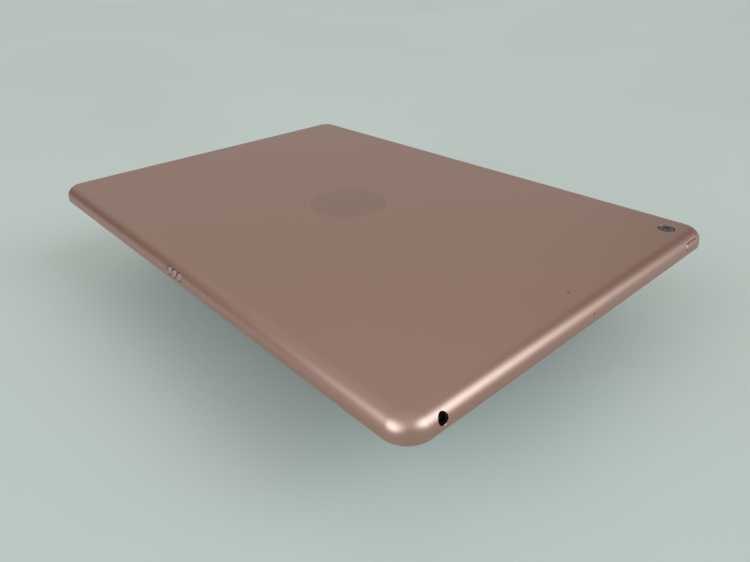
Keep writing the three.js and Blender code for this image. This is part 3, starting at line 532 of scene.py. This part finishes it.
def case_cutters():
    """All that is cut from the case. Cutters start at different depths in it, so that none share a face."""
    tools = []
    # The bay behind the glass, and the deeper pocket for everything else
    tools.append(loft("bay", [(RIM_WIDTH, RIM_LOW - 1), (RIM_WIDTH, LEDGE)]))
    tools.append(loft("pocket", [(SIDE_WALL, LEDGE - 0.5), (SIDE_WALL, INSIDE_BACK)]))
    tools.append(spin("home_relief", "z", HOME.xy, [(HOME_RELIEF, 0.5), (HOME_RELIEF, 1.85)]))
    # Round holes in the rear face
    inner = INSIDE_BACK - 1
    tools.append(flared("z", CAMERA.xy, CAMERA_HOLE, inner, THICKNESS, 0.07, steps=ROUND))
    tools.append(flared("z", REAR_MIC.xy, MICROPHONE_HOLE, inner, THICKNESS, 0.04, steps=24))
    tools.append(flared("z", (0, 0), INLAY_RADIUS + 0.01, THICKNESS - 0.5, THICKNESS, 0.004, steps=160))
    # Headphone socket, edge microphone and charging port
    end = skin(HALF_LENGTH)
    socket = (SOCKET.x, SOCKET.z)
    seat = SOCKET_NOSE + 0.05
    tools.append(flared("y", socket, SOCKET_HOLE, POCKET_Y - 1, end, 0.04, steps=56))
    tools.append(spin("seat", "y", socket, [(seat, POCKET_Y - 1.2), (seat, POCKET_Y + 1.8)], steps=48))
    tools.append(flared("y", (EDGE_MIC.x, EDGE_MIC.z), MICROPHONE_HOLE, POCKET_Y - 1, end, 0.04, steps=24))
    opening = (PORT_MOUTH, PORT_CHAMFER, PORT_SEAT, PORT_SEAT_DEPTH)
    tools += slotted("y", (PORT.x, PORT.z), *opening, HALF_LENGTH, -1)
    # Accessory contacts
    side = skin(HALF_WIDTH)
    for place in CONTACTS:
        tools.append(flared("x", (place.y, place.z), CONTACT_HOLE, POCKET_X - 1, side, 0.03, steps=56))
    # Slots and seats of the side buttons
    opening = (BUTTON_SLOT, BUTTON_CHAMFER, BUTTON_SEAT, BUTTON_SEAT_DEPTH)
    tools += slotted("y", (POWER.x, POWER.z), *opening, HALF_LENGTH, 1)
    for place in VOLUMES.values():
        tools += slotted("x", (place.y, place.z), *opening, HALF_WIDTH, -1)
    tools.append(speaker_holes())
    return tools


def speaker_holes():
    holes = []
    mouth = skin(HALF_LENGTH, way=-1)
    for side in (-1, 1):
        for column in range(SPEAKER_COLUMNS):
            for row in (-0.5, 0.5):
                place = (side * (SPEAKER_START + SPEAKER_PITCH * column), SPEAKER_Z + SPEAKER_PITCH * row)
                holes.append(flared("y", place, SPEAKER_HOLE, -POCKET_Y + 1, mouth, 0.05, -1, steps=24))
    return together("speaker_holes", holes)


def make_rear_case():
    profile = [(CHAMFER, RIM_LOW), (0, RIM_LOW + CHAMFER), (0, LEDGE)] + edge_profile(40)
    case = loft("rear_shell", profile, anodised, polished)
    combine(case, case_cutters())
    shade_case(case)
    finish_piece(case, BODY, "anodised_case", "rear_case")


def shade_case(case):
    """Exact normals on the outer surface, so that no facet shows, and a polished finish on the cut edges."""
    smooth(case, 30)
    mesh = case.data
    normals = [tuple(corner.vector) for corner in mesh.corner_normals]
    for face in mesh.polygons:
        centre = face.center / MM
        exact = surface_normal(*centre)
        dx = max(0.0, abs(centre.x) - (HALF_WIDTH - CORNER))
        dy = max(0.0, abs(centre.y) - (HALF_LENGTH - CORNER))
        reach = math.hypot(dx, dy)
        inset = CORNER - reach if reach else CORNER
        on_top = centre.z > THICKNESS - 0.02 and face.normal.z > 0.99
        on_edge = centre.z > RIM_LOW + CHAMFER and abs(inset - edge_inset(centre.z)) < 0.12
        face.material_index = 0
        if on_top or (on_edge and face.normal.dot(exact) > 0.97):
            for loop in face.loop_indices:
                point = mesh.vertices[mesh.loops[loop].vertex_index].co / MM
                normals[loop] = tuple(surface_normal(*point))
        elif is_bright_cut(centre, face.normal, exact, inset):
            face.material_index = 1
    mesh.normals_split_custom_set(normals)


def is_bright_cut(centre, normal, exact, inset):
    """The chamfer round the screen, those of the socket and the port, and the wall of the socket's hole."""
    if centre.z < RIM_LOW + CHAMFER + 0.01 and inset < RIM_WIDTH - 0.02 and normal.z < 0.5:
        return True
    if centre.y > POCKET_Y and math.hypot(centre.x - SOCKET.x, centre.z - SOCKET.z) < SOCKET_HOLE + 0.05:
        return True
    near_surface = abs(inset - edge_inset(centre.z)) < 0.3 and abs(centre.y) > HALF_LENGTH - EDGE_RUN
    slanted = 0.3 < normal.dot(exact) < 0.96
    return near_surface and slanted


# ---------------------------------------------------------------- glass, seal and home button

def quarter_round(radius, steps):
    """(inset, depth) pairs of a rounded edge, from its face to its side."""
    angles = [math.pi / 2 * i / steps for i in range(steps + 1)]
    return [(radius * (1 - math.sin(a)), radius * (1 - math.cos(a))) for a in angles]


def round_window(name, centre, radius, steps):
    """The cutter of a dark round window in the glass's face."""
    return spin(name, "z", centre, [(radius, -1), (radius, PRINT_DEPTH)], steps=steps)


def make_glass():
    """The white print and the dark windows in it are on the glass's face, which is its lowest."""
    profile = [(GLASS_INSET + inset, z) for inset, z in quarter_round(GLASS_ROUNDING, 8)]
    glass = loft("front_glass", profile + [(GLASS_INSET, GLASS)], white_print, screen_black)
    wide = HOME_HOLE + HOME_HOLE_CHAMFER
    home = [(wide + 0.5, -0.5), (wide, 0.0), (HOME_HOLE, HOME_HOLE_CHAMFER), (HOME_HOLE, GLASS + 1)]
    hole = spin("home_hole", "z", HOME.xy, home, steps=120)
    screen = block("screen_window", (-SCREEN_X, -SCREEN_Y, -1), (SCREEN_X, SCREEN_Y, PRINT_DEPTH))
    lens = round_window("lens_window", FRONT_CAMERA.xy, FRONT_CAMERA_WINDOW, 48)
    sensor = round_window("sensor_window", LIGHT_SENSOR.xy, SENSOR_WINDOW, 32)
    combine(glass, [hole, screen, lens, sensor])
    for face in glass.data.polygons:
        dark = abs(face.center.z / MM - PRINT_DEPTH) < 0.004 and face.normal.z < -0.9
        face.material_index = 1 if dark else 0
    smooth(glass, 30)
    finish_piece(glass, BODY, "white_glass", "cover_glass")


def make_seal():
    """A thin frame round and behind the glass, with room for the home button."""
    seal = loft("seal_ring", [(SEAL_INSET + 0.05, 0.25), (SEAL_INSET, 0.3), (SEAL_INSET, 1.1)], seal_grey)
    inside = GLASS_INSET - 0.05
    bay = loft("seal_bay", [(inside - 0.05, 0.0), (inside, 0.3), (inside, GLASS + 0.05)])
    opening = loft("seal_opening", [(SIDE_WALL - 0.6, 0.5), (SIDE_WALL - 0.6, 1.5)])
    relief = spin("seal_relief", "z", HOME.xy, [(HOME_RELIEF - 0.2, 0.94), (HOME_RELIEF - 0.2, 1.5)])
    combine(seal, [bay, opening, relief])
    smooth(seal, 40)
    finish_piece(seal, BODY, "pale_seal", "glass_seal")


def make_home_button():
    """A metal trim round a dished cap. The screen side is down, so the top of each is at its lowest z."""
    centre = HOME.xy
    outer, inner = HOME_RADIUS, HOME_TRIM_INNER
    top = lowest("home_button_ring").z
    bottom = highest("home_button_ring").z
    section = [
        (outer, bottom), (outer, top + 0.12), (outer - 0.06, top + 0.03), (outer - 0.16, top),
        (inner + 0.25, top + 0.02), (inner + 0.1, top + 0.08), (inner, top + 0.16), (inner, bottom),
    ]
    trim = smooth(ring("home_trim", "z", centre, section, polished, steps=128), 25)
    finish_piece(trim, "home_button", "polished_trim", "home_button_ring")

    radius = inner - 0.05
    low = lowest("home_button_cap").z
    profile = [(0.02, low + HOME_DISH)]
    for i in range(1, 21):
        r = (radius - 0.1) * i / 20
        profile.append((r, low + HOME_DISH * (1 - (r / radius) ** 2)))
    profile += [(radius - 0.03, low + 0.03), (radius, low + 0.09), (radius, bottom), (0.02, bottom)]
    cap = smooth(spin("home_cap", "z", centre, profile, sapphire_white, steps=96), 35)
    finish_piece(cap, "home_button", "white_plastic", "home_button_cap")


# ---------------------------------------------------------------- side buttons

def make_side_buttons():
    """Each is a bar with a soft edge whose face follows the edge's curve, on a flange inside the wall."""
    buttons = [("power_button", "y", (POWER.x, POWER.z), lowest("power_button").y, HALF_LENGTH, 1)]
    for name, place in VOLUMES.items():
        buttons.append((name, "x", (place.y, BUTTON_Z), highest(name).x, HALF_WIDTH, -1))
    for name, axis, centre, flange, half, way in buttons:
        front = flange + way * FLANGE_DEPTH
        places = [(FLANGE_GROWTH, flange), (FLANGE_GROWTH, front), (0, front)]
        for inset, depth in reversed(quarter_round(BUTTON_ROUNDING, 6)):
            places.append((-inset, skin(half, depth - BUTTON_PROUD, way)))
        bar = capsule(axis, centre, BUTTON_BAR, places, anodised, name=name + "_bar", steps=24)
        smooth(bar, 40)
        finish_piece(bar, name, "anodised_case", name)


# ---------------------------------------------------------------- socket, port and contacts

def make_socket():
    low, high = lowest("headphone_socket"), highest("headphone_socket")
    axis = (SOCKET.x, SOCKET.z)
    front = POCKET_Y - 0.05
    body = block("socket_body", (low.x, low.y, SOCKET.z - 2.0), (high.x, front, SOCKET.z + 2.0),
                 black_plastic, bevel=0.25)
    nose = [(SOCKET_NOSE, front - 1), (SOCKET_NOSE, high.y - 0.1), (SOCKET_NOSE - 0.1, high.y)]
    combine(body, [spin("socket_nose", "y", axis, nose)], "UNION")
    bore = [(1.2, low.y + 1.0), (SOCKET_BORE, low.y + 1.6)]
    bore += [(SOCKET_BORE, high.y - 0.12), (SOCKET_BORE + 0.65, high.y + 0.53)]
    combine(body, [spin("socket_bore", "y", axis, bore)])
    smooth(body, 35)
    finish_piece(body, BODY, "black_plastic", "headphone_socket")
    for number, (angle, depth) in enumerate(SPRINGS, 1):
        spring = leaf(f"socket_spring_{number}", axis, angle, high.y - depth, gold_plate)
        finish_piece(smooth(spring, 40), BODY, "contact_metal")


def leaf(name, axis, angle, along, surface):
    """A thin spring contact that arches from the inside of the socket's bore."""
    turn = math.radians(angle)
    out = Vector((math.cos(turn), math.sin(turn)))
    side = Vector((-out.y, out.x))
    root = SOCKET_BORE - 0.07
    steps = 12
    vertices = []
    for i in range(steps + 1):
        t = i / steps
        rise = SPRING_RISE * math.sin(math.pi * t)
        y = along - SPRING_LENGTH * t
        for across in (-SPRING_WIDTH / 2, SPRING_WIDTH / 2):
            for reach in (root - rise, root - SPRING_THICKNESS - rise):
                u = axis[0] + out.x * reach + side.x * across
                v = axis[1] + out.y * reach + side.y * across
                vertices.append((u, y, v))
    faces = []
    for i in range(steps):
        a, b = 4 * i, 4 * (i + 1)
        faces += [(a, a + 2, b + 2, b), (a + 1, b + 1, b + 3, a + 3)]
        faces += [(a, b, b + 1, a + 1), (a + 2, a + 3, b + 3, b + 2)]
    end = 4 * steps
    faces += [(0, 1, 3, 2), (end, end + 2, end + 3, end + 1)]
    return outward(make(name, vertices, faces, surface))


def make_port():
    low, high = lowest("charging_port"), highest("charging_port")
    axis = (PORT.x, PORT.z)
    front = -POCKET_Y + 0.05
    shell = block("port_shell", (low.x, front, low.z), (high.x, high.y, high.z), sheet_steel, bevel=0.3)
    nose = [(0, front + 1), (0, low.y + 0.1), (-0.1, low.y)]
    combine(shell, [capsule("y", axis, PORT_NOSE, nose, name="nose")], "UNION")
    cavity = [(0, low.y + 9.4), (0, low.y + 0.12), (0.5, low.y - 0.38)]
    combine(shell, [capsule("y", axis, PORT_CAVITY, cavity, name="cavity")])
    smooth(shell, 35)
    finish_piece(shell, BODY, "sheet_steel", "charging_port")
    # A carrier at the back of the cavity with a row of plated contacts
    carrier = block("port_carrier", (-3.2, low.y + 8.3, PORT.z - 0.85), (3.2, low.y + 9.3, PORT.z + 0.85),
                    black_plastic, bevel=0.1)
    finish_piece(smooth(carrier), BODY, "black_plastic")
    for i in range(PORT_CONTACTS):
        x = (i - (PORT_CONTACTS - 1) / 2) * PORT_PITCH
        corners = (x - 0.14, low.y + 4.2, PORT.z - 0.86), (x + 0.14, low.y + 8.2, PORT.z - 0.6)
        pin = block(f"port_contact_{i + 1}", *corners, gold_plate, bevel=0.06)
        finish_piece(smooth(pin), BODY, "contact_metal")


def make_contacts():
    """Three round plates, each in a collar of the insulating block behind them."""
    low, high = lowest("contact_insulator"), highest("contact_insulator")
    right = POCKET_X - 0.05
    body = block("contact_block", low, (right, high.y, high.z), black_plastic, bevel=0.2)
    bore = CONTACT_RADIUS + 0.05
    collars = []
    bores = []
    for place in CONTACTS:
        centre = (place.y, place.z)
        rim = [(CONTACT_COLLAR, right - 0.5), (CONTACT_COLLAR, skin(HALF_WIDTH, 0.16))]
        rim += [(CONTACT_COLLAR - 0.04, skin(HALF_WIDTH, 0.12)), (1.4, skin(HALF_WIDTH, 0.12))]
        collars.append(spin("collar", "x", centre, rim, steps=56))
        bores.append(spin("bore", "x", centre, [(bore, low.x - 1), (bore, HALF_WIDTH + 1)], steps=56))
    combine(body, [together("collars", collars)], "UNION")
    combine(body, [together("bores", bores)])
    smooth(body, 35)
    finish_piece(body, BODY, "black_plastic", "contact_insulator")
    for number, place in enumerate(CONTACTS, 1):
        back = lowest(f"accessory_contact_{number}").x
        profile = [(CONTACT_RADIUS, back), (CONTACT_RADIUS, skin(HALF_WIDTH, 0.13))]
        profile.append((CONTACT_RADIUS - 0.03, skin(HALF_WIDTH, 0.08)))
        profile += [(1.42 * (1 - i / 10) + 0.01, skin(HALF_WIDTH, 0.05)) for i in range(11)]
        pin = spin(f"contact_face_{number}", "x", (place.y, place.z), profile, contact_plate, steps=56)
        smooth(pin, 40)
        finish_piece(pin, BODY, "contact_metal", f"accessory_contact_{number}")


# ---------------------------------------------------------------- rear camera and inlay

def make_camera():
    centre = CAMERA.xy
    low = lowest("rear_camera_ring").z
    top = highest("rear_camera_ring").z
    outer, inner = CAMERA_TRIM_OUTER, CAMERA_TRIM_INNER
    section = [
        (outer, low), (outer, top - 0.08), (outer - 0.05, top - 0.02), (outer - 0.12, top),
        (inner + 0.1, top), (inner + 0.02, top - 0.06), (inner, top - 0.14), (inner, low + 0.2),
        (2.4, low + 0.2), (2.4, low),
    ]
    trim = smooth(ring("camera_trim", "z", centre, section, ring_dark, steps=128), 25)
    finish_piece(trim, BODY, "polished_trim", "rear_camera_ring")

    glass_low, glass_top = lowest("rear_camera_lens").z, highest("rear_camera_lens").z
    # The window is a black annulus round a stepped well that leads to the front lens element
    radius = inner - 0.05
    well = CAMERA_WELL
    floor = ELEMENT_RADIUS + 0.05
    section = [
        (radius, glass_low), (radius, glass_top - 0.05), (radius - 0.05, glass_top),
        (well + 0.05, glass_top), (well, glass_top - 0.05), (well, glass_top - 0.15),
        (floor, glass_top - 0.2), (floor, glass_low),
    ]
    window = smooth(ring("camera_window", "z", centre, section, coated_glass, steps=128), 25)
    finish_piece(window, BODY, "lens_glass", "rear_camera_lens")
    rim = glass_low + 0.06
    profile = [(ELEMENT_RADIUS, glass_low), (ELEMENT_RADIUS, rim)]
    for i in range(1, 13):
        r = ELEMENT_RADIUS * (1 - i / 12) + 0.01
        profile.append((r, rim + 0.16 * (1 - (r / ELEMENT_RADIUS) ** 2)))
    element = smooth(spin("camera_element", "z", centre, profile, blue_lens), 40)
    finish_piece(element, BODY, "lens_glass")


def make_inlay():
    low, top = lowest("rear_inlay").z, highest("rear_inlay").z
    r = INLAY_RADIUS
    profile = [(r - 0.02, low), (r - 0.02, top - 0.015), (r - 0.035, top), (0.05, top)]
    disc = smooth(spin("inlay_disc", "z", (0, 0), profile, inlay_gold, steps=160), 30)
    finish_piece(disc, BODY, "polished_trim", "rear_inlay")


# ---------------------------------------------------------------- materials of the carried-over parts

CARRIED = {
    sheet_steel: ("display_tray", "home_bracket", "radio_shield", "processor_shield", "power_shield"),
    screw_steel: ("display_screw_1", "display_screw_2", "display_screw_3", "display_screw_4",
                  "board_screw_1", "board_screw_2"),
    display_film: ("display_panel",),
    white_plastic: ("antenna_left", "antenna_right"),
    black_plastic: ("home_button_carrier", "power_switch", "volume_up_switch", "volume_down_switch",
                    "speaker_left", "speaker_right", "rear_camera_module", "front_camera", "light_sensor",
                    "antenna_coax", "edge_microphone", "rear_microphone"),
    contact_plate: ("home_switch",),
    flex_film: ("button_flex", "headphone_flex", "charging_flex", "display_flex", "touch_flex",
                "contact_flex"),
    board_green: ("logic_board", "battery_circuit"),
    battery_wrap: ("battery_cell_left", "battery_cell_right"),
    adhesive: ("battery_adhesive_left", "battery_adhesive_right"),
    fine_mesh: ("speaker_mesh_left", "speaker_mesh_right"),
    magnet_nickel: ("cover_magnet_upper", "cover_magnet_lower"),
}


def dress_carried():
    """Gives each CAD node that stays its finish."""
    for surface, nodes in CARRIED.items():
        for node in nodes:
            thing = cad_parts[node]
            thing.data.materials.clear()
            thing.data.materials.append(surface)


# ---------------------------------------------------------------- floor, light and camera

FLOOR_Z = -40.0
FLOOR_REACH = 20000
FLOOR_COLOUR = (0.73, 0.757, 0.66)
# The floor's colour in reflections only: painted shade, darker and warmer than its lit colour
FLOOR_REFLECTED_SHADE = (0.54, 0.49, 0.46)
ROOM_COLOUR = (0.48, 0.53, 0.50)
PEDESTAL_X, PEDESTAL_Y = 13, 20
PEDESTAL_GAP = 0.2


def one_sided(name, colour, reflected_shade_colour, roughness):
    """A surface that is solid from its front and clear from behind, so that it never hides the object.

    In reflections it takes a second colour, a little darker and warmer than its lit one: painted shade, so
    that the object's edges reflect a darker floor.
    """
    made = material(name, colour, roughness, tone=0.02, tone_scale=3.0, vary=0.04)
    tree = made.node_tree
    output = tree.nodes["Material Output"]
    shader = tree.nodes["Principled BSDF"]
    # Painted shade: a darker, warmer colour that the floor shows only in reflections
    reflected_shade = tree.nodes.new("ShaderNodeBsdfDiffuse")
    reflected_shade.inputs["Color"].default_value = (*reflected_shade_colour, 1)
    seen = tree.nodes.new("ShaderNodeMixShader")
    link(tree, tree.nodes.new("ShaderNodeLightPath").outputs["Is Glossy Ray"], seen.inputs["Fac"])
    link(tree, shader.outputs["BSDF"], seen.inputs[1])
    link(tree, reflected_shade.outputs["BSDF"], seen.inputs[2])
    clear = tree.nodes.new("ShaderNodeBsdfTransparent")
    choose = tree.nodes.new("ShaderNodeMixShader")
    facing = tree.nodes.new("ShaderNodeNewGeometry").outputs["Backfacing"]
    link(tree, facing, choose.inputs["Fac"])
    link(tree, seen.outputs["Shader"], choose.inputs[1])
    link(tree, clear.outputs["BSDF"], choose.inputs[2])
    link(tree, choose.outputs["Shader"], output.inputs["Surface"])
    return made


def make_stage():
    surface = one_sided("pale_floor", FLOOR_COLOUR, FLOOR_REFLECTED_SHADE, 0.42)
    around = ((-1, -1), (1, -1), (1, 1), (-1, 1))
    corners = [(x * FLOOR_REACH, y * FLOOR_REACH, FLOOR_Z) for x, y in around]
    floor = make("floor", corners, [(0, 1, 2, 3)], surface)
    floor.visible_shadow = False
    # A small pedestal under the middle, out of the camera's sight, holds the tablet clear of the floor
    heights = (FLOOR_Z, -PEDESTAL_GAP)
    walls = [(x * PEDESTAL_X, y * PEDESTAL_Y, z) for z in heights for x, y in around]
    pedestal = make("pedestal", walls, rings_to_faces(4, 2), surface)


def heading(azimuth, elevation):
    """The unit vector towards an azimuth, counted from +X, and an elevation."""
    a, e = math.radians(azimuth), math.radians(elevation)
    return (math.cos(a) * math.cos(e), math.sin(a) * math.cos(e), math.sin(e))


WARM = (1.0, 1.0, 1.0)
SHADE = (0.75, 1.0, 1.08)
COOL = (1.0, 1.27, 1.49)
# Direction, the cosines between which the lobe fades in, its radiance and its tint
LOBES = (
    (heading(0, 90), -0.03, 0.03, 0.35, WARM),
    (heading(0, 90), 0.3, 1.0, 0.14, WARM),
    (heading(-2, 30), 0.78, 0.995, 0.98, COOL),
    (heading(-2, 20), 0.91, 0.998, 0.88, COOL),
    (heading(-25, 35), 0.90, 0.998, 0.34, COOL),
    (heading(118, 30), 0.80, 0.995, 0.42, COOL),
    (heading(120, 38), 0.91, 0.998, 1.3, COOL),
    (heading(123, 20), 0.93, 0.998, 0.7, COOL),
    (heading(100, 38), 0.92, 0.998, 0.45, COOL),
    (heading(172, 31), 0.85, 0.99, -0.22, SHADE),
    (heading(-62, 5), 0.80, 0.99, -0.24, SHADE),
)


def lobe(tree, way, direction, low, high, gain):
    """A value that rises to gain as a way nears a direction, between two cosines of the angle to it."""
    dot = tree.nodes.new("ShaderNodeVectorMath")
    dot.operation = "DOT_PRODUCT"
    dot.inputs[1].default_value = Vector(direction).normalized()
    link(tree, way, dot.inputs[0])
    ranged = tree.nodes.new("ShaderNodeMapRange")
    ranged.interpolation_type = "SMOOTHSTEP"
    ranged.inputs["From Min"].default_value = low
    ranged.inputs["From Max"].default_value = high
    ranged.inputs["To Max"].default_value = gain
    link(tree, dot.outputs["Value"], ranged.inputs["Value"])
    return ranged.outputs["Result"]


def make_world():
    """A soft room: even light from above, bright areas on both sides of the camera, dimmer ones beyond."""
    world = bpy.data.worlds.new("soft_room")
    bpy.context.scene.world = world
    world.use_nodes = True
    tree = world.node_tree
    background = tree.nodes["Background"]
    way = tree.nodes.new("ShaderNodeTexCoord").outputs["Generated"]
    total = None
    for direction, low, high, gain, colour in LOBES:
        scaled = tree.nodes.new("ShaderNodeVectorMath")
        scaled.operation = "SCALE"
        scaled.inputs[0].default_value = colour
        link(tree, lobe(tree, way, direction, low, high, gain), scaled.inputs["Scale"])
        if total is None:
            total = scaled.outputs["Vector"]
            continue
        add = tree.nodes.new("ShaderNodeVectorMath")
        link(tree, total, add.inputs[0])
        link(tree, scaled.outputs["Vector"], add.inputs[1])
        total = add.outputs["Vector"]
    link(tree, total, background.inputs["Color"])
    # Seen directly, the room is one plain pale tone
    plain = tree.nodes.new("ShaderNodeBackground")
    plain.inputs["Color"].default_value = (*ROOM_COLOUR, 1)
    choose = tree.nodes.new("ShaderNodeMixShader")
    link(tree, tree.nodes.new("ShaderNodeLightPath").outputs["Is Camera Ray"], choose.inputs["Fac"])
    link(tree, background.outputs["Background"], choose.inputs[1])
    link(tree, plain.outputs["Background"], choose.inputs[2])
    link(tree, choose.outputs["Shader"], tree.nodes["World Output"].inputs["Surface"])


def make_light():
    """A faint square light under the tablet that faces up to its screen, 0.9 m wide and as far below."""
    data = bpy.data.lights.new("under", "AREA")
    data.size = 0.9
    data.energy = 0.3
    data.spread = math.radians(120)
    light = bpy.data.objects.new("under", data)
    light.location = (0, 0, -0.9)
    light.rotation_euler = Vector((0, 0, 1)).to_track_quat("-Z", "Y").to_euler()
    light.visible_camera = False
    bpy.context.scene.collection.objects.link(light)


VIEW_PLACE = (0.16376, 0.20219, 0.11064)  # in metres, as is the aim
VIEW_AIM = (0.04077, 0.06310, 0.0075)
VIEW_ROLL = -1.56  # in degrees
VIEW_LENS = 28.955  # in millimetres, as is the sensor
VIEW_SENSOR = 36


def make_camera_view():
    camera = bpy.data.objects.new("camera", bpy.data.cameras.new("camera"))
    bpy.context.scene.collection.objects.link(camera)
    camera.location = VIEW_PLACE
    facing = (Vector(VIEW_AIM) - camera.location).to_track_quat("-Z", "Y").to_matrix()
    camera.rotation_euler = (facing @ Matrix.Rotation(math.radians(VIEW_ROLL), 3, "Z")).to_euler()
    camera.data.sensor_width = VIEW_SENSOR
    camera.data.lens = VIEW_LENS
    camera.data.clip_start = 0.005
    bpy.context.scene.camera = camera


make_rear_case()
make_glass()
make_seal()
make_home_button()
make_side_buttons()
make_socket()
make_port()
make_contacts()
make_camera()
make_inlay()
dress_carried()
make_stage()
make_world()
make_light()
make_camera_view()
bpy.context.scene.view_settings.view_transform = "Standard"
